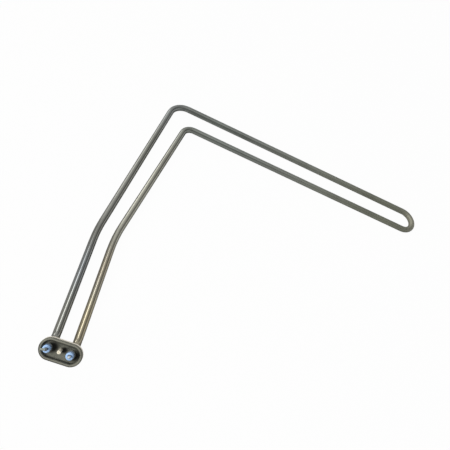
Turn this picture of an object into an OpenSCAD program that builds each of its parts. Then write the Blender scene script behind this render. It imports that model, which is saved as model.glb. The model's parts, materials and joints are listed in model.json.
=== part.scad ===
// Heating element of a dishwasher: one hairpin of sheathed tube, bent to an L, that lies flat
// and turns up at its ends into a cupped flange with two terminals and an earth stud.
// The origin lies midway between the tube's ends, in the plane of the flange's seat.
// +X runs along the arm and +Y along the legs.

/* [Sheath tube] */
// Outside diameter of the sheath tube
tube_d = 8; // [7:0.5:9]
// Wall of the sheath tube
tube_wall = 0.7; // [0.5:0.1:1]
// Distance between the two legs at the flange, centre to centre
leg_pitch = 20; // [18:0.5:22]
// Distance between the two runs of the arm, centre to centre
arm_pitch = 32; // [26:1:40]
// Length of the outer leg from the foot bend to the knee
lower_len = 116.5; // [90:0.5:150]
// Length of the outer leg from the knee to the elbow
mid_len = 229; // [180:1:280]
// Length of the arm from the outer elbow to the start of the end bend
arm_len = 350; // [250:5:420]

/* [Bends] */
// Heading of the lower legs, measured from the arm
lower_heading = 96.2; // [90:0.1:100]
// Heading of the outer leg above the knee, measured from the arm
mid_heading = 87.1; // [84:0.1:90]
// Angle by which the inner leg spreads from the outer one above the knee
mid_spread = 2.2; // [0:0.1:3]
// Bend radius at the knees, to the centre of the tube
knee_r = 170; // [100:5:250]
// Bend radius of the outer elbow, to the centre of the tube
outer_elbow_r = 20; // [15:0.5:25]
// Bend radius of the inner elbow, to the centre of the tube
inner_elbow_r = 12.5; // [10:0.5:18]
// Bend radius behind the flange, to the centre of the tube
foot_r = 16; // [12:1:20]
// Amount by which the tube's diameter is drawn down in the bends
draw = 0.12; // [0.1:0.01:0.14]
// Angle by which the ends turn up behind the flange
foot_angle = 60; // [45:1:80]
// Angle by which the turned-up ends lean sideways
foot_lean = 3; // [0:0.5:8]
// Angle by which the flange is twisted on the ends
flange_twist = 2; // [0:0.5:6]
// Straight end between the foot bend and the flange's seat
riser_len = 19.5; // [15:0.5:30]

/* [Flange] */
// Width of the flange
flange_w = 19.5; // [18:0.5:24]
// Offset of the flange's middle from the midpoint of its two holes
flange_shift = 1.5; // [0:0.1:2]
// Width of the cup's floor that is left between a hole and the end it is shifted towards
end_land = 0.35; // [0.3:0.05:3]
// Thickness of the flange's sheet
sheet = 1.2; // [0.8:0.1:1.3]
// Width of the rolled rim
rim_w = 2.8; // [2.7:0.1:3.5]
// Height of the rim above the seat
rim_h = 6.5; // [5.5:0.5:8]
// Depth of the cup inside the rim
cup_depth = 3; // [2:0.1:3.5]
// Radial gap between the tube and its hole in the flange
hole_gap = 0.1; // [0.05:0.05:0.2]
// Width of the braze behind the flange, from the tube outwards
braze_w = 1.6; // [1:0.1:2]

/* [Terminals] */
// Diameter of the insulators' heads
insulator_d = 6.8; // [6.6:0.1:7.8]
// Height of the insulators' heads above the cup's floor
insulator_h = 7; // [5:0.5:9]
// Length of the insulators' spigots inside the tube
spigot_len = 4; // [2:0.5:6]
// Diameter of the recess in the insulators' heads
recess_d = 3.4; // [3:0.1:5]
// Depth of the recess in the insulators' heads
recess_depth = 0.6; // [0.5:0.1:2]
// Radius that rounds the edge of the insulators' heads
insulator_edge = 1.2; // [0.3:0.1:1.5]
// Length of the resin seals inside the tube
seal_len = 6; // [3:0.5:10]
// Diameter of the cold pins
pin_d = 2.4; // [2:0.1:3]
// Height of the cold pins above the insulators
pin_proud = 3; // [2:0.5:5]
// Length of the cold pins inside the lower legs
pin_in_leg = 40; // [20:5:60]
// Height of the terminal tabs above the insulators
tab_clear = 1; // [0.5:0.5:1.5]
// Width of the terminal tabs
tab_w = 2.2; // [2.2:0.1:3]
// Thickness of the terminal tabs
tab_t = 0.8; // [0.5:0.1:0.8]
// Length of the terminal tabs' blades
tab_len = 4; // [3:0.5:8]
// Width of the terminal tabs' tips
tip_w = 0.8; // [0.8:0.1:2]
// Angle by which the left tab is bent over
tab_bend = 50; // [30:5:80]
// Inner radius of the bend in the left tab
tab_bend_r = 0.6; // [0.4:0.1:1]
// Radial gap between pieces that slide into each other
slip = 0.08; // [0.08:0.01:0.15]

/* [Earth stud] */
// Diameter of the earth stud
stud_d = 3; // [2.5:0.5:4]
// Length of the earth stud above its foot
stud_len = 10; // [6:0.5:16]
// Diameter of the earth stud's welded foot
stud_foot_d = 3.8; // [3.8:0.1:4.8]
// Thickness of the earth stud's welded foot
stud_foot_h = 0.6; // [0.3:0.1:1]
// Offset of the earth stud from the line of the terminals
stud_offset = 1.4; // [0:0.1:2]
// Offset of the earth stud from the midpoint of the terminals
stud_shift = 0.8; // [0:0.1:2]

/* [Heating coil] */
// Outside diameter of the heating coil's turns
coil_d = 3.4; // [2.8:0.1:4]

/* [Hidden] */

LEFT = -1;
RIGHT = 1;
// Facets of the round sections, of the bends and of the gentle knees
round_fn = 48;
bend_fn = 96;
knee_fn = 480;
// Length by which a cut runs past a face, and by which a straight run laps into a bend
past = 1;
lap = 0.05;

// Bore of the tube and the bore in the fill for the coil and the pins
bore_d = tube_d - 2 * tube_wall;
fill_d = bore_d - 2 * slip;
coil_bore_d = coil_d + 2 * slip;
pin_bore_d = pin_d + 2 * slip;

// Heights in the flange's own frame, which starts at the seat
floor_top = rim_h - cup_depth;
floor_back = floor_top - sheet;
head_top = floor_top + insulator_h;
spigot_end = floor_top - spigot_len;
seal_end = spigot_end - seal_len;
pin_top = head_top + pin_proud;

// Turns of the flange from the legs' own frame to its seat
seat_pitch = atan2(cos(foot_angle), sin(foot_angle) * cos(foot_lean));
seat_roll = -asin(sin(foot_angle) * sin(foot_lean));
seat_skew = sin(seat_roll) * sin(seat_pitch);

// Amount by which the left end is bent nearer the knee, and the right one farther from it
foot_skew = leg_pitch / 2 * cos(seat_roll) * tan(flange_twist)
    / (cos(seat_pitch) + seat_skew * tan(flange_twist));
hole_pitch = (leg_pitch * cos(seat_roll) - 2 * foot_skew * seat_skew) / cos(flange_twist);

// Reach of the turned-up ends, back along the legs and up
foot_back = foot_r * sin(foot_angle) + riser_len * cos(foot_angle);
foot_rise = foot_r * (1 - cos(foot_angle)) + riser_len * sin(foot_angle);

function heading(a) = [cos(a), sin(a)];
function angle_of(v) = atan2(v[1], v[0]);
function turn_of(a, b) = let (d = b - a) d > 180 ? d - 360 : d < -180 ? d + 360 : d;

// Point midway between the legs where the foot bends start, and the height of the flat part
foot_mid = foot_back * heading(lower_heading)
    + foot_rise * sin(foot_lean) * heading(lower_heading - 90);
flat_z = -foot_rise * cos(foot_lean);

// Corners of the hairpin, from the left foot to the right one
left_foot = foot_mid + leg_pitch / 2 * heading(lower_heading + 90)
    + foot_skew * heading(lower_heading);
right_foot = foot_mid + leg_pitch / 2 * heading(lower_heading - 90)
    - foot_skew * heading(lower_heading);
outer_knee = left_foot + lower_len * heading(lower_heading);
knee_mitre = (lower_heading + mid_heading) / 2;
mitre_len = leg_pitch / cos((lower_heading - mid_heading) / 2);
inner_knee = outer_knee + mitre_len * heading(knee_mitre - 90);
outer_elbow = outer_knee + mid_len * heading(mid_heading);
inner_heading = mid_heading - mid_spread;
inner_len = (outer_elbow[1] - arm_pitch - inner_knee[1]) / sin(inner_heading);
inner_elbow = inner_knee + inner_len * heading(inner_heading);
// Corners of the two sides of the hairpin, each from its foot to the bend at the arm's end
arm_end = outer_elbow[0] + arm_len;
outer_side = [left_foot, outer_knee, outer_elbow, [arm_end, outer_elbow[1]]];
inner_side = [right_foot, inner_knee, inner_elbow, [arm_end, inner_elbow[1]]];
outer_r = [0, knee_r, outer_elbow_r, 0];
inner_r = [0, knee_r, inner_elbow_r, 0];
last = len(outer_side) - 1;

// Headings, turns and tangent lengths along one side
function side_heading(path, i) = angle_of(path[i + 1] - path[i]);
function corner_turn(path, i) =
    i == 0 || i == last ? 0 : turn_of(side_heading(path, i - 1), side_heading(path, i));
function corner_len(path, radii, i) = radii[i] * tan(abs(corner_turn(path, i)) / 2);

// Sections of the pieces that follow the tube: a bend draws the tube down a little
module disc(d) circle(d = d, $fn = round_fn);
module ring(outer, inner) difference() {
    disc(outer);
    disc(inner);
}

// Straight run of a section between two corners, which starts late where pins take its place
module straight_run(path, radii, i, late) {
    h = side_heading(path, i);
    skip = i > 0 ? corner_len(path, radii, i) - lap : late > 0 ? late : -lap;
    start = path[i] + skip * heading(h);
    run = norm(path[i + 1] - path[i]) - skip - corner_len(path, radii, i + 1) + lap;
    translate([start[0], start[1], flat_z]) rotate([0, 0, h]) rotate([90, 0, 90])
        linear_extrude(run) children();
}

// Bend of a section at one corner
module corner_bend(path, radii, i) {
    turn = corner_turn(path, i);
    h = side_heading(path, i - 1);
    side = sign(turn);
    centre = path[i] - corner_len(path, radii, i) * heading(h)
        + radii[i] * heading(h + side * 90);
    first = h - side * 90 + min(turn, 0);
    translate([centre[0], centre[1], flat_z]) rotate([0, 0, first])
        rotate_extrude(angle = abs(turn), $fn = i == 1 ? knee_fn : bend_fn)
            translate([radii[i], 0]) children();
}

// Flat part of the hairpin: the first child is the section of the straight runs,
// and the second is that of the bends
module flat_side(path, radii, late) {
    for (i = [0:last - 1]) straight_run(path, radii, i, late) children(0);
    for (i = [1:last - 1]) corner_bend(path, radii, i) children(1);
}
module flat_run(late = 0) {
    flat_side(outer_side, outer_r, late) { children(0); children(1); }
    flat_side(inner_side, inner_r, late) { children(0); children(1); }
    translate([arm_end, outer_elbow[1] - arm_pitch / 2, flat_z]) rotate([0, 0, -90])
        rotate_extrude(angle = 180, $fn = bend_fn) translate([arm_pitch / 2, 0]) children(1);
}

// Places a piece in the frame of one foot, with its leg along +Y
module at_foot(side) {
    foot = side == LEFT ? left_foot : right_foot;
    translate([foot[0], foot[1], flat_z]) rotate([0, 0, lower_heading - 90])
        rotate([0, -foot_lean, 0]) children();
}

// A section swept up one turned-up end, from one height over the seat to another
function riser_of(side) = riser_len + side * (leg_pitch / 2 * sin(foot_angle) * sin(foot_lean)
    - foot_skew * cos(foot_angle));
module foot_bend(side) at_foot(side) translate([0, 0, foot_r]) rotate([0, 90, 0])
    rotate([0, 0, -foot_angle]) rotate_extrude(angle = foot_angle, $fn = bend_fn)
        translate([foot_r, 0]) children();
module riser(side, top) at_foot(side)
    translate([0, -foot_r * sin(foot_angle), foot_r * (1 - cos(foot_angle))])
        rotate([90 - foot_angle, 0, 0]) translate([0, 0, -lap])
            linear_extrude(riser_of(side) + top + lap) children();

// Places a piece in the flange's own frame, and at one of its two holes
module at_flange() rotate([0, 0, lower_heading - 90]) rotate([seat_pitch, 0, 0])
    rotate([0, seat_roll, 0]) rotate([0, 0, -flange_twist]) children();
module at_hole(side, height) at_flange() translate([side * hole_pitch / 2, 0, height]) children();

// Bent sheath from one end to the other
module sheath_tube() color([0.5, 0.5, 0.46]) {
    flat_run() {
        ring(tube_d, bore_d);
        ring(tube_d - draw, bore_d - draw);
    }
    for (side = [LEFT, RIGHT]) {
        foot_bend(side) ring(tube_d - draw, bore_d - draw);
        riser(side, floor_top) ring(tube_d, bore_d);
    }
}

// Packed powder between the coil or the pins and the sheath
module magnesia_fill() color([0.9, 0.9, 0.86]) difference() {
    union() {
        flat_run() {
            disc(fill_d);
            disc(fill_d - draw);
        }
        for (side = [LEFT, RIGHT]) {
            foot_bend(side) disc(fill_d - draw);
            riser(side, seal_end) disc(fill_d);
        }
    }
    flat_run(pin_in_leg) {
        disc(coil_bore_d);
        disc(coil_bore_d - draw);
    }
    for (side = [LEFT, RIGHT]) {
        leg_start(side, pin_in_leg + lap) disc(pin_bore_d);
        foot_bend(side) disc(pin_bore_d - draw);
        riser(side, seal_end + past) disc(pin_bore_d);
    }
}

// A section swept along the stretch of a lower leg that holds a cold pin
module leg_start(side, length) {
    foot = side == LEFT ? left_foot : right_foot;
    translate([foot[0], foot[1], flat_z]) rotate([0, 0, lower_heading]) rotate([90, 0, 90])
        translate([0, 0, -lap]) linear_extrude(length + lap) children();
}

// Outer form of the wound resistance wire
module heating_coil() color([0.6, 0.55, 0.45]) flat_run(pin_in_leg) {
    disc(coil_d);
    disc(coil_d - draw);
}

// Solid pin from the coil to the terminal, with a flat for the tab
module cold_pin(side) color([0.6, 0.58, 0.56]) {
    leg_start(side, pin_in_leg) disc(pin_d);
    foot_bend(side) disc(pin_d - draw);
    difference() {
        riser(side, pin_top) disc(pin_d);
        at_tab(side, tab_start) translate([-pin_d, 0, 0]) cube([2 * pin_d, pin_d, pin_proud]);
    }
}
module left_cold_pin() cold_pin(LEFT);
module right_cold_pin() cold_pin(RIGHT);

// Resin plug behind the insulator
module end_seal(side) color([0.75, 0.3, 0.2]) at_hole(side, seal_end)
    linear_extrude(seal_len) ring(fill_d, pin_bore_d);
module left_end_seal() end_seal(LEFT);
module right_end_seal() end_seal(RIGHT);

// Turned insulator: a rounded head on the tube's end and a spigot inside it
module insulator(side) color([0.45, 0.65, 0.9]) at_hole(side, 0) difference() {
    union() {
        translate([0, 0, spigot_end]) cylinder(d = fill_d, h = spigot_len, $fn = round_fn);
        translate([0, 0, floor_top]) rotate_extrude($fn = round_fn) head_section();
    }
    translate([0, 0, spigot_end - past])
        cylinder(d = pin_bore_d, h = spigot_len + insulator_h + 2 * past, $fn = round_fn);
    translate([0, 0, head_top - recess_depth])
        cylinder(d = recess_d, h = recess_depth + past, $fn = round_fn);
}
module head_section() {
    square([insulator_d / 2, insulator_h - insulator_edge]);
    square([insulator_d / 2 - insulator_edge, insulator_h]);
    translate([insulator_d / 2 - insulator_edge, insulator_h - insulator_edge])
        circle(insulator_edge, $fn = round_fn);
}
module left_insulator() insulator(LEFT);
module right_insulator() insulator(RIGHT);

// Outline of a blade with a tapered tip, standing on the X axis
module blade_outline(length) polygon([[-tab_w / 2, 0], [tab_w / 2, 0],
    [tab_w / 2, length / 3], [tip_w / 2, length], [-tip_w / 2, length], [-tab_w / 2, length / 3]]);

// Stem of a tab, which lies against the flat of its pin, and the blade that carries it on
tab_start = head_top + tab_clear;
stem_len = pin_proud - tab_clear;
module tab_stem() translate([-tab_w / 2, 0, 0]) cube([tab_w, tab_t, stem_len]);
module tab_blade() translate([0, tab_t, 0]) rotate([90, 0, 0])
    linear_extrude(tab_t) blade_outline(tab_len);

// Turns a tab so that the left one faces away from the stud
module at_tab(side, height) at_hole(side, height) rotate([0, 0, side == LEFT ? 90 : 0]) children();

module right_terminal_tab() color([0.8, 0.8, 0.78]) at_tab(RIGHT, tab_start) {
    tab_stem();
    translate([0, 0, stem_len]) tab_blade();
}

// The left tab is bent over its flat side
module left_terminal_tab() color([0.8, 0.8, 0.78]) at_tab(LEFT, tab_start) {
    tab_stem();
    translate([0, tab_t + tab_bend_r, stem_len]) {
        rotate([0, 90, 0]) rotate([0, 0, -90 - tab_bend])
            rotate_extrude(angle = tab_bend, $fn = bend_fn)
                translate([tab_bend_r, -tab_w / 2]) square([tab_t, tab_w]);
        rotate([-tab_bend, 0, 0]) translate([0, -tab_t - tab_bend_r, 0]) tab_blade();
    }
}

// Profile of the flange's rolled rim, measured out from its middle line
module rim_section() {
    mid = flange_w / 2 - rim_w / 2;
    crest = rim_h - rim_w / 2;
    translate([mid, crest]) intersection() {
        difference() {
            circle(rim_w / 2, $fn = round_fn);
            circle(rim_w / 2 - sheet, $fn = round_fn);
        }
        translate([-rim_w / 2, 0]) square([rim_w, rim_w / 2]);
    }
    translate([flange_w / 2 - sheet, 0]) square([sheet, crest]);
    translate([flange_w / 2 - rim_w, floor_back]) square([sheet, crest - floor_back]);
}

// The same profile carried round the flange
half_run = (hole_pitch + tube_d - flange_w) / 2 + hole_gap + end_land + rim_w + flange_shift;
module round_rim() {
    for (end = [LEFT, RIGHT]) translate([end * half_run, 0, 0]) rotate([0, 0, -end * 90])
        rotate_extrude(angle = 180, $fn = bend_fn) rim_section();
    for (flip = [0, 180]) rotate([0, 0, flip]) translate([-half_run, 0, 0])
        rotate([90, 0, 90]) linear_extrude(2 * half_run) rim_section();
}
module obround(length, width) {
    run = (length - width) / 2;
    square([2 * run, width], center = true);
    for (end = [LEFT, RIGHT]) translate([end * run, 0]) circle(d = width, $fn = bend_fn);
}

// Pressed flange: a cup whose rim is rolled over and runs back to the seat
module flange_plate() color([0.42, 0.42, 0.38]) at_flange() {
    translate([flange_shift, 0, 0]) round_rim();
    inner_w = flange_w - 2 * rim_w + sheet;
    translate([0, 0, floor_back]) difference() {
        translate([flange_shift, 0, 0])
            linear_extrude(sheet) obround(2 * half_run + inner_w, inner_w);
        for (side = [LEFT, RIGHT]) translate([side * hole_pitch / 2, 0, -past])
            cylinder(d = tube_d + 2 * hole_gap, h = sheet + 2 * past, $fn = round_fn);
    }
}

// Ring of braze between the tube and the back of the flange
module braze_ring(side) color([0.7, 0.6, 0.35]) at_hole(side, floor_back - braze_w)
    rotate_extrude($fn = round_fn)
        polygon([[tube_d / 2, 0], [tube_d / 2 + braze_w, braze_w], [tube_d / 2, braze_w]]);
module left_braze_ring() braze_ring(LEFT);
module right_braze_ring() braze_ring(RIGHT);

// Earth stud, welded to the cup's floor by its foot
module earth_stud() color([0.85, 0.78, 0.6]) at_flange()
    translate([stud_shift, stud_offset, floor_top]) {
    cylinder(d = stud_foot_d, h = stud_foot_h, $fn = round_fn);
    cylinder(d = stud_d, h = stud_foot_h + stud_len, $fn = round_fn);
}

sheath_tube();
magnesia_fill();
heating_coil();
left_cold_pin();
right_cold_pin();
left_end_seal();
right_end_seal();
left_insulator();
right_insulator();
left_terminal_tab();
right_terminal_tab();
flange_plate();
left_braze_ring();
right_braze_ring();
earth_stud();
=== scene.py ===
"""Looks of a dishwasher heating element: a hairpin of sheathed tube with a cupped flange."""
import json
import math

import bpy
from mathutils import Matrix, Vector


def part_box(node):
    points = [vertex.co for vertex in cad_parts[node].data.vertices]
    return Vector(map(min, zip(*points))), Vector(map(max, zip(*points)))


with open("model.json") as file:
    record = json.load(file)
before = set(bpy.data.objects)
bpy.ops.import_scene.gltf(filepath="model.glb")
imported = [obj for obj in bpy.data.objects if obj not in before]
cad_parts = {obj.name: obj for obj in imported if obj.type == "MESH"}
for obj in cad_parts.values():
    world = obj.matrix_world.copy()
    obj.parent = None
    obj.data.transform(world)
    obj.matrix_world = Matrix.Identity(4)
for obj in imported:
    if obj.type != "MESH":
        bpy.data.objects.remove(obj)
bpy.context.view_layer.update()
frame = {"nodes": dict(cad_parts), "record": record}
nodes = frame["nodes"]
mounts = {mount["name"]: mount for mount in frame["record"]["mounts"]}

# The hairpin lies on the floor: its legs run along +Y and its arm along +X
TUBE_R = 0.004
FLOOR_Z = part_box("sheath_tube")[0].z
FLAT_Z = FLOOR_Z + TUBE_R

# The line midway between the two legs, as x and y: from the flange over the knees to the elbow
GAP_START = (-0.0013, 0.023)
GAP_KNEE = (-0.0138, 0.139)
GAP_END = (0.0006, 0.335)

# The line midway between the two runs of the arm
ARM_MIDDLE_Y = 0.3515

# The flange: OUT is the way that its terminals point, ACROSS runs from the left one to the right one,
# and UPWARD points up in its plane, to the legs' side
LEFT_TERMINAL = Vector(mounts["left_terminal"]["pos_m"])
RIGHT_TERMINAL = Vector(mounts["right_terminal"]["pos_m"])
STUD = Vector(mounts["earth_stud"]["pos_m"])
BETWEEN_TERMINALS = (LEFT_TERMINAL + RIGHT_TERMINAL) / 2
OUT = Vector(mounts["left_terminal"]["axis"]).normalized()
ACROSS = (RIGHT_TERMINAL - LEFT_TERMINAL).normalized()
UPWARD = OUT.cross(ACROSS)

# Its outline is an obround: FLANGE_R from a middle line of this half length, whose own middle lies
# this far to the right of the place between the terminals
FLANGE_R = 0.00975
FLANGE_HALF_RUN = 0.009
FLANGE_SHIFT = 0.0015

# Its section: heights along OUT from the frame's origin, and reaches from that middle line
CUP_FLOOR = 0.0035
RIM_TOP = 0.0065
GROOVE_R = 0.0071
CREST_R = 0.0083

WHITE = (1.0, 1.0, 1.0)


class Value:
    """An output of a node, so that shader maths reads as plain expressions."""

    def __init__(self, paint, socket):
        self.paint = paint
        self.socket = socket

    def __add__(self, other):
        return self.paint.math("ADD", self, other)

    def __radd__(self, other):
        return self.paint.math("ADD", other, self)

    def __sub__(self, other):
        return self.paint.math("SUBTRACT", self, other)

    def __rsub__(self, other):
        return self.paint.math("SUBTRACT", other, self)

    def __mul__(self, other):
        return self.paint.math("MULTIPLY", self, other)

    def __rmul__(self, other):
        return self.paint.math("MULTIPLY", other, self)


class Paint:
    """A tree of shader nodes, built up from plain calls."""

    def __init__(self, tree):
        self.tree = tree
        tree.nodes.clear()

    def node(self, kind, settings=None, stops=None, **inputs):
        """Adds a node of any kind: its settings and a ramp's stops first, then its inputs.

        An input is named with underscores for spaces, or by its number as in_0."""
        made = self.tree.nodes.new(kind)
        for name, value in (settings or {}).items():
            setattr(made, name, value)
        if stops:
            ramp = made.color_ramp
            while len(ramp.elements) < len(stops):
                ramp.elements.new(0.5)
            for element, (place, colour) in zip(ramp.elements, stops):
                element.position = place
                element.color = (*colour, 1.0)
        for name, value in inputs.items():
            numbered = name.startswith("in_")
            socket = made.inputs[int(name[3:])] if numbered else made.inputs[name.replace("_", " ")]
            if isinstance(value, Value):
                self.tree.links.new(value.socket, socket)
            elif socket.type == "RGBA":
                socket.default_value = (*value, 1.0)
            else:
                socket.default_value = value
        return made

    def out(self, made, which=0):
        """An output of a node, by its number or its name."""
        return Value(self, made.outputs[which])

    def math(self, operation, *values):
        """What a Math node works out from one or two values."""
        inputs = {f"in_{number}": value for number, value in enumerate(values)}
        return self.out(self.node("ShaderNodeMath", {"operation": operation}, **inputs))

    def mix(self, share, first, second):
        """The second colour over the first, as far as the share says."""
        settings = {"data_type": "RGBA", "clamp_factor": True}
        return self.out(self.node("ShaderNodeMix", settings, in_0=share, in_6=first, in_7=second), 2)

    def place(self):
        """A point's place in the frame, because every piece has its place in its mesh."""
        return self.out(self.node("ShaderNodeTexCoord"), "Object")

    def axes(self, where):
        """A place as three numbers."""
        split = self.node("ShaderNodeSeparateXYZ", Vector=where)
        return [self.out(split, number) for number in range(3)]

    def along(self, where, axis, start=(0.0, 0.0, 0.0)):
        """The distance from a start along an axis."""
        from_start = self.node("ShaderNodeVectorMath", {"operation": "SUBTRACT"},
                               in_0=where, in_1=tuple(start))
        dot = self.node("ShaderNodeVectorMath", {"operation": "DOT_PRODUCT"},
                        in_0=self.out(from_start), in_1=tuple(axis))
        return self.out(dot, "Value")

    def noise(self, where, scale, detail=3.0, roughness=0.6, stretch=(1.0, 1.0, 1.0)):
        """Soft noise from 0 to 1, drawn out along the axes whose stretch is small."""
        drawn = self.out(self.node("ShaderNodeMapping", Vector=where, Scale=stretch))
        return self.out(self.node("ShaderNodeTexNoise", Vector=drawn, Scale=scale, Detail=detail,
                                  Roughness=roughness))

    def streaks(self, where, scale, stretch):
        """Fine noise drawn out to lines, as drawing leaves them in metal."""
        return self.noise(where, scale, detail=2.0, roughness=0.5, stretch=stretch)

    def grit(self, where, scale):
        """Sharp, broken noise."""
        return self.noise(where, scale, detail=4.0, roughness=0.7)

    def rise(self, value, low, high):
        """Goes smoothly from 0 at low to 1 at high."""
        settings = {"interpolation_type": "SMOOTHSTEP"}
        return self.out(self.node("ShaderNodeMapRange", settings, in_0=value, in_1=low, in_2=high))

    def fall(self, value, low, high):
        """Goes smoothly from 1 at low to 0 at high."""
        return 1.0 - self.rise(value, low, high)

    def spot(self, where, middle, reach, core=0.1):
        """A soft spot: 1 in its core, which is a share of its reach, and 0 at its reach."""
        settings = {"operation": "DISTANCE"}
        apart = self.node("ShaderNodeVectorMath", settings, in_0=where, in_1=tuple(middle))
        return self.fall(self.out(apart, "Value"), core * reach, reach)

    def clouded(self, pattern, dark, light):
        """A colour that goes from dark to light with a pattern."""
        return self.mix(self.rise(pattern, 0.3, 0.7), dark, light)

    def flecked(self, colour, pattern, low, high, share, fleck):
        """A colour with flecks of another, up to a share, where a pattern rises from low to high."""
        return self.mix(self.rise(pattern, low, high) * share, colour, fleck)

    def bump(self, height, depth):
        """The relief of a surface, whose height from 0 to 1 stands for this depth."""
        return self.out(self.node("ShaderNodeBump", Height=height, Distance=depth, Strength=1.0))

    def surface(self, **inputs):
        """The finished surface."""
        shader = self.node("ShaderNodeBsdfPrincipled", **inputs)
        self.node("ShaderNodeOutputMaterial", Surface=self.out(shader))


def new_paint(name):
    """A new material of that name, and the paint for its nodes."""
    material = bpy.data.materials.new(name)
    material.use_nodes = True
    return material, Paint(material.node_tree)


# How metallic the oxide of the tube and the dull sheet of the flange are, and their tint at a grazing
# angle, where both give back less
OXIDE_METAL = 0.85
SHEET_METAL = 0.2
EDGE_TINT = (0.4, 0.4, 0.4)

# Colours of the tube
OUTER_LEG = (0.196, 0.197, 0.178)
INNER_LEG = (0.272, 0.268, 0.228)
ARM = (0.186, 0.196, 0.180)
ARM_END = (0.168, 0.174, 0.139)
SOOT = (0.045, 0.045, 0.04)
RUBBED = (0.46, 0.46, 0.44)
BRONZE = (0.295, 0.257, 0.174)
BROWN = (0.255, 0.222, 0.165)
HEAT_BLUE = (0.18, 0.192, 0.20)
STRAW = (0.25, 0.234, 0.185)
UPPER_LEG = (0.162, 0.164, 0.146)
COOL_ARM = (0.196, 0.213, 0.196)

# Its heat tints: the x and y where each is strongest, how far it reaches, its colour, its share, and
# whether it lies on the inner or the outer run of the hairpin
TINTS = [
    (-0.0185, 0.092, 0.045, HEAT_BLUE, 0.8, "outer"),
    (0.0070, 0.040, 0.050, BRONZE, 0.9, "inner"),
    (0.0005, 0.100, 0.040, BROWN, 0.8, "inner"),
    (-0.0180, 0.290, 0.110, UPPER_LEG, 0.9, "outer"),
    (0.0060, 0.310, 0.090, UPPER_LEG, 0.5, "inner"),
    (-0.0120, 0.355, 0.070, HEAT_BLUE, 0.5, "outer"),
    (0.055, ARM_MIDDLE_Y, 0.090, COOL_ARM, 0.9, "both"),
    (0.354, ARM_MIDDLE_Y, 0.030, STRAW, 0.5, "both"),
]

# Where its finish changes: along x, from the elbow to the far bend, and along y
ELBOW_COLOUR_X = (0.0, 0.09)
ARM_END_X = (0.09, 0.33)
ELBOW_GRAIN_X = (0.005, 0.03)
DULL_X = (0.07, 0.22)
FAR_BEND_X = (0.334, 0.350)
LOW_LEG_Y = (0.08, 0.14)
ARM_RUNS_Y = (ARM_MIDDLE_Y - 0.0045, ARM_MIDDLE_Y + 0.0045)

# Half the width over which one leg's finish gives way to the other's
GAP_SOFT = 0.002

# The fine lines along it: their scale, and the stretch that draws them out
GRAIN_SCALE = 1800.0
GRAIN_STRETCH = 0.02

# Its roughness at the smoothest place, and what each mark adds to that
SHEATH_ROUGH = 0.08
MOTTLE_ROUGH = 0.04
GRAIN_ROUGH = 0.04
DULL_ROUGH = 0.23
LOW_INNER_ROUGH = 0.06
FAR_BEND_ROUGH = 0.08

# How much less metallic it is where it is dull
DULL_METAL_LOSS = 0.25


def line_through(y, first, second):
    """The x at this y of a line through two points, each an x and a y."""
    slope = (second[0] - first[0]) / (second[1] - first[1])
    return y * slope + (first[0] - slope * first[1])


def sheath_steel():
    """Drawn steel under a thin oxide: grey on the outer leg, bronze on the inner one, olive on the arm."""
    material, paint = new_paint("sheath_steel")
    where = paint.place()
    x, y, _ = paint.axes(where)
    below_knee = line_through(y, GAP_START, GAP_KNEE)
    above_knee = line_through(y, GAP_KNEE, GAP_END)
    right_of_gap = x - paint.math("MAXIMUM", below_knee, above_knee)
    inner = paint.rise(right_of_gap, -GAP_SOFT, GAP_SOFT) * paint.fall(y, *ARM_RUNS_Y)
    runs = {"inner": inner, "outer": 1.0 - inner, "both": 1.0}

    cloud = paint.noise(where, scale=28.0)
    mottle = paint.noise(where, scale=420.0)
    leg_grain = paint.streaks(where, GRAIN_SCALE, stretch=(1.0, GRAIN_STRETCH, 1.0))
    arm_grain = paint.streaks(where, GRAIN_SCALE, stretch=(GRAIN_STRETCH, 1.0, 1.0))
    grain = leg_grain + (arm_grain - leg_grain) * paint.rise(x, *ELBOW_GRAIN_X)

    legs = paint.mix(inner, OUTER_LEG, INNER_LEG)
    arm = paint.mix(paint.rise(x, *ARM_END_X), ARM, ARM_END)
    colour = paint.mix(paint.rise(x, *ELBOW_COLOUR_X), legs, arm)
    for tint_x, tint_y, reach, tint, share, run in TINTS:
        spot = paint.spot(where, (tint_x, tint_y, FLAT_Z), reach)
        colour = paint.mix(spot * share * runs[run], colour, tint)
    colour = paint.flecked(colour, cloud, low=0.45, high=0.7, share=0.22, fleck=SOOT)
    colour = paint.flecked(colour, mottle, low=0.5, high=0.8, share=0.14, fleck=SOOT)
    colour = paint.flecked(colour, grain, low=0.6, high=0.85, share=0.10, fleck=RUBBED)

    dull = paint.rise(x, *DULL_X)
    low_inner = inner * LOW_INNER_ROUGH * paint.fall(y, *LOW_LEG_Y)
    far_bend = paint.rise(x, *FAR_BEND_X) * FAR_BEND_ROUGH
    rough = SHEATH_ROUGH + mottle * MOTTLE_ROUGH + grain * GRAIN_ROUGH + dull * DULL_ROUGH
    paint.surface(Base_Color=colour, Metallic=OXIDE_METAL - dull * DULL_METAL_LOSS,
                  Roughness=rough + low_inner + far_bend, Specular_Tint=EDGE_TINT,
                  Normal=paint.bump(grain * 0.6 + mottle * 0.4, depth=0.000004))
    return material


# Colours of the flange
SHEET_DARK = (0.093, 0.094, 0.078)
SHEET_LIGHT = (0.111, 0.112, 0.093)
# The crest's lighter band, partly rubbed metal and partly painted highlight, and the outer wall's pale
# painted highlight
CREST_WEAR_AND_HIGHLIGHT = (0.155, 0.152, 0.126)
WALL_HIGHLIGHT = (0.72, 0.67, 0.57)
# The colour of the painted shade and shadow in the cup, in its groove, under its rim and along its lower
# edge
PAINTED_SHADE = (0.009, 0.009, 0.0075)

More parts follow.
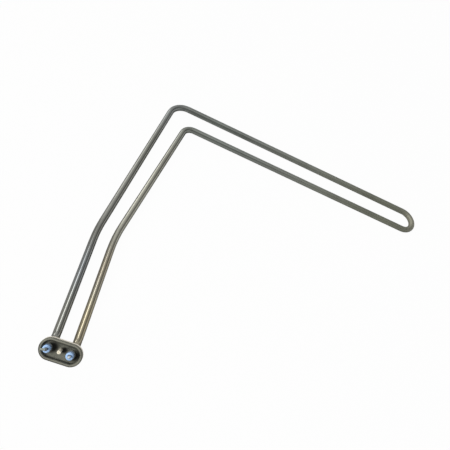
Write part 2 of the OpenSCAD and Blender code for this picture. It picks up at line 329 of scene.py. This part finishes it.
# Painted shadows in its cup, cast by the posts: the post that each lies beside, how far to the right and
# upward, and its size
PAINTED_SHADOWS = [
    (LEFT_TERMINAL, 0.0036, 0.0018, 0.0068),
    (RIGHT_TERMINAL, 0.0035, 0.0, 0.0064),
    (STUD, 0.0028, 0.0006, 0.0038),
]

# The share of a painted shadow's size within which it is fully dark
SHADOW_CORE = 0.35

# Its painted highlights and shade: the reaches over which each comes in or goes out, the first from the
# crest and the rest from the middle line
CREST_SOFT = (0.0003, 0.0008)
WALL_FROM = (FLANGE_R - 0.0004, FLANGE_R - 0.0001)
GROOVE_FROM = (GROOVE_R - 0.0012, GROOVE_R)
GROOVE_TO = (GROOVE_R + 0.0008, GROOVE_R + 0.0016)
UNDER_RIM_FROM = (GROOVE_R - 0.0018, GROOVE_R)
UNDER_RIM_TO = (GROOVE_R + 0.0004, GROOVE_R + 0.0012)
LOW_EDGE_FROM = (CREST_R - 0.0001, CREST_R + 0.0009)

# The heights over which the crest's lighter band, partly rubbed metal and partly painted highlight, comes
# in and the outer wall's painted highlight goes out
CREST_FROM = (0.005, 0.006)
WALL_TO = (0.0038, 0.0050)

# How far upward the painted shade under the rim comes in and the painted shade of the low edge goes out,
# and the low edge's slant
UNDER_RIM_UP = (-0.002, 0.003)
LOW_EDGE_UP = (-0.006, 0.0)
LOW_EDGE_SLANT = 0.35

# How far each of these painted highlights and shades covers the sheet
CREST_SHARE = 0.8
GROOVE_SHARE = 0.5
UNDER_RIM_SHARE = 0.65
LOW_EDGE_SHARE = 0.75

# The dull sheet has half the usual sheen
SHEET_SHEEN = 0.25


def pressed_steel():
    """Dull steel sheet of the flange: a lighter band on the rim's crest, partly rubbed metal and partly
    painted highlight, a painted highlight on its outer wall, painted shadows beside the posts, and painted
    shade in the groove, under the rim and along its lower edge."""
    material, paint = new_paint("pressed_steel")
    where = paint.place()
    height = paint.along(where, OUT)
    aside = paint.along(where, ACROSS, BETWEEN_TERMINALS)
    upward = paint.along(where, UPWARD, BETWEEN_TERMINALS)
    from_middle = paint.math("ABSOLUTE", aside - FLANGE_SHIFT)
    past_run = paint.math("MAXIMUM", from_middle - FLANGE_HALF_RUN, 0.0)
    reach = paint.math("SQRT", past_run * past_run + upward * upward)
    cloud = paint.noise(where, scale=220.0)
    speck = paint.noise(where, scale=900.0)
    colour = paint.clouded(cloud, SHEET_DARK, SHEET_LIGHT)

    # A lighter band along the rim's crest: partly rubbed metal, partly a painted highlight
    from_crest = paint.math("ABSOLUTE", reach - CREST_R)
    crest = paint.fall(from_crest, *CREST_SOFT) * paint.rise(height, *CREST_FROM)
    colour = paint.mix(crest * CREST_SHARE, colour, CREST_WEAR_AND_HIGHLIGHT)
    # The outer wall painted pale as a painted highlight
    wall = paint.rise(reach, *WALL_FROM) * paint.fall(height, *WALL_TO)
    colour = paint.mix(wall, colour, WALL_HIGHLIGHT)

    # Painted shadows of the insulators and the stud, to the right of their feet
    for post, right, up, size in PAINTED_SHADOWS:
        foot = post - OUT * (OUT.dot(post) - CUP_FLOOR) + ACROSS * right + UPWARD * up
        colour = paint.mix(paint.spot(where, foot, size, SHADOW_CORE), colour, PAINTED_SHADE)

    # Painted shade in the groove round the cup floor and under the rim on the legs' side
    groove = paint.rise(reach, *GROOVE_FROM) * paint.fall(height, CUP_FLOOR, RIM_TOP)
    groove = groove * paint.fall(reach, *GROOVE_TO)
    under_rim_shade = paint.rise(reach, *UNDER_RIM_FROM) * paint.fall(reach, *UNDER_RIM_TO)
    under_rim_shade = under_rim_shade * paint.rise(upward, *UNDER_RIM_UP)
    corner_shade = paint.math("MAXIMUM", groove * GROOVE_SHARE, under_rim_shade * UNDER_RIM_SHARE)
    colour = paint.mix(corner_shade, colour, PAINTED_SHADE)
    # Painted shade along the flange's lower outer edge
    slanted = upward + aside * LOW_EDGE_SLANT
    low_edge_shade = paint.rise(reach, *LOW_EDGE_FROM) * paint.fall(slanted, *LOW_EDGE_UP)
    colour = paint.mix(low_edge_shade * LOW_EDGE_SHARE, colour, PAINTED_SHADE)
    colour = paint.flecked(colour, speck, low=0.5, high=0.75, share=0.15, fleck=SOOT)

    paint.surface(Base_Color=colour, Metallic=SHEET_METAL, Roughness=0.38 + cloud * 0.12 + speck * 0.08,
                  Specular_IOR_Level=SHEET_SHEEN, Specular_Tint=EDGE_TINT,
                  Normal=paint.bump(speck * 0.6 + cloud * 0.4, depth=0.00001))
    return material


# Colours of the insulators
BLUE_DARK = (0.160, 0.270, 0.450)
BLUE_LIGHT = (0.215, 0.325, 0.50)
BLUE_SPECK = (0.07, 0.12, 0.23)


def blue_insulator():
    """Smooth blue insulator with a soft sheen and a faint cloudiness."""
    material, paint = new_paint("blue_insulator")
    where = paint.place()
    cloud = paint.noise(where, scale=500.0)
    speck = paint.noise(where, scale=2200.0)
    colour = paint.clouded(cloud, BLUE_DARK, BLUE_LIGHT)
    colour = paint.flecked(colour, speck, low=0.6, high=0.8, share=0.15, fleck=BLUE_SPECK)
    paint.surface(Base_Color=colour, Roughness=0.34 + speck * 0.12, Coat_Weight=0.5, Coat_Roughness=0.15,
                  Normal=paint.bump(cloud * 0.5 + speck * 0.5, depth=0.00001))
    return material


def plain_metal(name, dark, light, rough, metal=1.0):
    """Metal of a small piece, finely mottled, with specks darker than its dark colour."""
    material, paint = new_paint(name)
    where = paint.place()
    cloud = paint.noise(where, scale=360.0, detail=2.0)
    speck = paint.grit(where, scale=1200.0)
    darker = tuple(0.4 * part for part in dark)
    colour = paint.clouded(cloud, dark, light)
    colour = paint.flecked(colour, speck, low=0.55, high=0.8, share=0.25, fleck=darker)
    paint.surface(Base_Color=colour, Metallic=metal, Roughness=rough + speck * 0.12,
                  Normal=paint.bump(speck, depth=0.00001))
    return material


# Colours of the stud: its plating, the fine lines along it, and the dark steel at its foot, which is also
# painted shade at its base
PLATING_DARK = (0.50, 0.46, 0.36)
PLATING_LIGHT = (0.72, 0.68, 0.57)
PLATING_LINES = (0.40, 0.34, 0.23)
STUD_STEEL_AND_SHADE = (0.12, 0.118, 0.10)

# The heights over which that steel and painted shade give way to the plating, and how far it covers the
# foot
STUD_FOOT = (CUP_FLOOR + 0.0006, CUP_FLOOR + 0.0018)
STUD_FOOT_SHARE = 0.8


def plated_stud():
    """Pale plating, matt and a little uneven, that gives way at the foot to dark steel, for the weld and
    as painted shade at the stud's base.
    """
    material, paint = new_paint("plated_stud")
    where = paint.place()
    cloud = paint.noise(where, scale=700.0)
    speck = paint.noise(where, scale=2600.0)
    lines = paint.streaks(where, scale=2400.0, stretch=(1.0, 0.2, 0.2))
    colour = paint.clouded(cloud, PLATING_DARK, PLATING_LIGHT)
    colour = paint.flecked(colour, lines, low=0.5, high=0.8, share=0.2, fleck=PLATING_LINES)
    # Darker foot: the weld's steel and painted shade at the stud's base
    foot = paint.fall(paint.along(where, OUT), *STUD_FOOT)
    colour = paint.mix(foot * STUD_FOOT_SHARE, colour, STUD_STEEL_AND_SHADE)
    paint.surface(Base_Color=colour, Metallic=0.35, Roughness=0.36 + speck * 0.14,
                  Normal=paint.bump(speck * 0.5 + lines * 0.5, depth=0.00002))
    return material


def dull_filling(name, dark, light):
    """Powder or cured resin: matt, grainy, with no metal in it."""
    material, paint = new_paint(name)
    grain = paint.grit(paint.place(), scale=1500.0)
    paint.surface(Base_Color=paint.clouded(grain, dark, light), Roughness=0.85,
                  Normal=paint.bump(grain, depth=0.00005))
    return material


def finish_nodes():
    """Gives every node of the model its finish."""
    # The two terminal tabs are one metal: the left gets a darker copy as painted shade, the right a
    # lighter copy as painted light
    shaded_tab = plain_metal("shaded_tab", dark=(0.27, 0.31, 0.29), light=(0.38, 0.42, 0.40), rough=0.34,
                           metal=0.5)
    lit_tab = plain_metal("lit_tab", dark=(0.60, 0.62, 0.60), light=(0.74, 0.76, 0.74), rough=0.30,
                             metal=0.5)
    pin = plain_metal("dull_pin", dark=(0.20, 0.19, 0.18), light=(0.32, 0.31, 0.29), rough=0.35)
    braze = plain_metal("braze", dark=(0.45, 0.33, 0.14), light=(0.62, 0.48, 0.24), rough=0.35)
    resin = dull_filling("cured_resin", dark=(0.30, 0.07, 0.04), light=(0.42, 0.12, 0.06))
    insulator = blue_insulator()
    sheath = sheath_steel()
    sheet = pressed_steel()
    plating = plated_stud()
    magnesia = dull_filling("magnesia", dark=(0.62, 0.62, 0.58), light=(0.80, 0.80, 0.76))
    wire = plain_metal("resistance_wire", dark=(0.20, 0.17, 0.13), light=(0.34, 0.30, 0.24), rough=0.4)
    finishes = {
        "sheath_tube": sheath,
        "flange_plate": sheet,
        "left_insulator": insulator,
        "right_insulator": insulator,
        "left_cold_pin": pin,
        "right_cold_pin": pin,
        "left_terminal_tab": shaded_tab,
        "right_terminal_tab": lit_tab,
        "earth_stud": plating,
        "left_braze_ring": braze,
        "right_braze_ring": braze,
        "left_end_seal": resin,
        "right_end_seal": resin,
        "magnesia_fill": magnesia,
        "heating_coil": wire,
    }
    for name, material in finishes.items():
        piece = nodes[name].data
        piece.materials.clear()
        piece.materials.append(material)


# How white the studio shows to the camera, and how far gloss shows the room and the floor as white
STUDIO_SHOWN = 0.975
ROOM_MIRRORED = 0.2
FLOOR_MIRRORED = 0.35

# The floor: its size, its middle, its colour under the lamps, and its gap to the tube
FLOOR_SIZE = 12.0
FLOOR_MIDDLE = (0.15, 0.2)
FLOOR_GREY = (0.38, 0.38, 0.375)
FLOOR_GAP = 0.0001


def white_share(paint, in_gloss):
    """The share of plain white in what a ray sees of the studio."""
    rays = paint.node("ShaderNodeLightPath")
    mirrored = paint.out(rays, "Is Glossy Ray") + paint.out(rays, "Is Transmission Ray")
    return paint.out(rays, "Is Camera Ray") * STUDIO_SHOWN + mirrored * in_gloss


def lay_floor():
    """Pale floor that shows white to the camera and still takes the object's soft shadow."""
    bpy.ops.mesh.primitive_plane_add(size=FLOOR_SIZE, location=(*FLOOR_MIDDLE, FLOOR_Z - FLOOR_GAP))
    floor = bpy.context.object
    floor.name = "floor"
    material, paint = new_paint("pale_floor")
    plain = paint.out(paint.node("ShaderNodeBsdfDiffuse", Color=FLOOR_GREY))
    white = paint.out(paint.node("ShaderNodeEmission", Color=WHITE, Strength=1.0))
    share = white_share(paint, FLOOR_MIRRORED)
    mixed = paint.node("ShaderNodeMixShader", in_0=share, in_1=plain, in_2=white)
    paint.node("ShaderNodeOutputMaterial", Surface=paint.out(mixed))
    floor.data.materials.append(material)


COOL_WHITE = (0.96, 0.98, 1.0)
WARM_WHITE = (1.0, 0.985, 0.95)

# The lamps: where each stands, what it is aimed at, its width and height, its power, its colour, and
# whether gloss shows it
LAMPS = {
    "left_softbox": ((-0.71, 0.53, 1.145), (-0.02, 0.06, 0.0), (0.44, 0.40), 2.4, COOL_WHITE, True),
    "front_key": ((-0.90, -0.94, 0.61), (0.0, 0.0, 0.0), (0.62, 0.62), 34.0, WARM_WHITE, False),
    "front_glint": ((-0.96, -0.725, 0.79), (0.0, 0.0, 0.0), (0.80, 0.80), 5.0, WARM_WHITE, True),
}


def set_lamps():
    """A softbox high at the back left, a key at the front left that gloss doesn't show, and beside that
    the weaker glint that gloss shows instead."""
    for name, (place, aim, size, power, colour, in_gloss) in LAMPS.items():
        lamp = bpy.data.lights.new(name, "AREA")
        lamp.shape = "RECTANGLE"
        lamp.size, lamp.size_y = size
        lamp.energy = power
        lamp.color = colour
        holder = bpy.data.objects.new(name, lamp)
        holder.location = place
        holder.rotation_euler = (Vector(aim) - Vector(place)).to_track_quat("-Z", "Y").to_euler()
        holder.visible_glossy = in_gloss
        bpy.context.scene.collection.objects.link(holder)


# The room's light above the horizon, by the x of a direction: -1 at the left and 1 at the right
ROOM_LIGHT = [
    (-1.0, 0.6),
    (-0.75, 0.8),
    (-0.45, 1.5),
    (0.0, 0.82),
    (0.2, 0.62),
    (0.4, 0.14),
    (0.6, 0.08),
    (1.0, 0.4),
]

# A ramp's colours end at 1, so it holds that light as a share of this
RAMP_FULL = 2.0

# The share of it that the front of the room takes away
FRONT_LOSS = 0.85

# The room's light at the horizon, what the middle, the right and the back add, and what the front takes
HORIZON_LIGHT = 0.5
MIDDLE_GAIN = 0.3
RIGHT_GAIN = 0.55
BACK_GAIN = 0.35
HORIZON_FRONT_LOSS = 0.4

# Where these parts of the room begin, by how far a direction points to the right, the front, the back
# or up
MIDDLE = (-0.7, 0.0)
RIGHT = (0.5, 0.75)
FRONT = (0.3, 0.55)
BACK = (0.5, 0.7)
ABOVE = (0.25, 0.5)

# A window at the back left: its light, and where it begins to the back and to the left
WINDOW_LIGHT = 3.2
WINDOW_BACK = (0.52, 0.68)
WINDOW_LEFT = (0.5, 0.62)

# A pale patch of ceiling: its light, where it ends to the back, and where it begins upward
CEILING_LIGHT = 0.35
CEILING_BACK = (-0.1, 0.2)
CEILING_UP = (0.6, 0.8)


def room_light(paint):
    """The light that the room gives from each direction: little at the right and the front, much at a
    window at the back left, and a little more at a patch of ceiling."""
    x, y, z = paint.axes(paint.out(paint.node("ShaderNodeTexCoord"), "Generated"))
    stops = [(side * 0.5 + 0.5, (light / RAMP_FULL,) * 3) for side, light in ROOM_LIGHT]
    ramp = paint.node("ShaderNodeValToRGB", stops=stops, Fac=x * 0.5 + 0.5)
    front = paint.rise(0.0 - y, *FRONT)
    back = paint.rise(y, *BACK)
    above = paint.out(ramp) * RAMP_FULL * (1.0 - front * FRONT_LOSS)
    sides = HORIZON_LIGHT + paint.rise(x, *MIDDLE) * MIDDLE_GAIN + paint.rise(x, *RIGHT) * RIGHT_GAIN
    horizon = sides - front * HORIZON_FRONT_LOSS + back * BACK_GAIN
    window = paint.rise(y, *WINDOW_BACK) * paint.rise(0.0 - x, *WINDOW_LEFT) * WINDOW_LIGHT
    ceiling = paint.fall(y, *CEILING_BACK) * (1.0 - front) * paint.rise(z, *CEILING_UP) * CEILING_LIGHT
    return horizon + (above - horizon) * paint.rise(z, *ABOVE) + window + ceiling


def build_room():
    """The world round the object: the room's light, and white to the camera."""
    world = bpy.data.worlds.new("room")
    bpy.context.scene.world = world
    world.use_nodes = True
    paint = Paint(world.node_tree)
    room = room_light(paint)
    shown = room + (1.0 - room) * white_share(paint, ROOM_MIRRORED)
    light = paint.node("ShaderNodeBackground", Color=WHITE, Strength=shown)
    paint.node("ShaderNodeOutputWorld", Surface=paint.out(light))


# The camera of the photograph: a 40 mm lens, turned about its own axis
LENS_MM = 40.0
CAMERA_PLACE = Vector((0.03246, -0.14105, 0.43875))
CAMERA_AIM = Vector((0.10367, 0.21533, FLAT_Z))
CAMERA_ROLL = math.radians(33.14)
CAMERA_NEAR = 0.01


def set_camera():
    """Puts the camera where the photograph was taken from."""
    camera = bpy.data.objects.new("camera", bpy.data.cameras.new("camera"))
    camera.data.lens = LENS_MM
    camera.data.clip_start = CAMERA_NEAR
    turn = (CAMERA_AIM - CAMERA_PLACE).to_track_quat("-Z", "Y").to_matrix().to_4x4()
    camera.matrix_world = Matrix.Translation(CAMERA_PLACE) @ turn @ Matrix.Rotation(CAMERA_ROLL, 4, "Z")
    bpy.context.scene.collection.objects.link(camera)
    bpy.context.scene.camera = camera


bpy.context.scene.view_settings.view_transform = "Standard"
set_camera()
finish_nodes()
lay_floor()
set_lamps()
build_room()
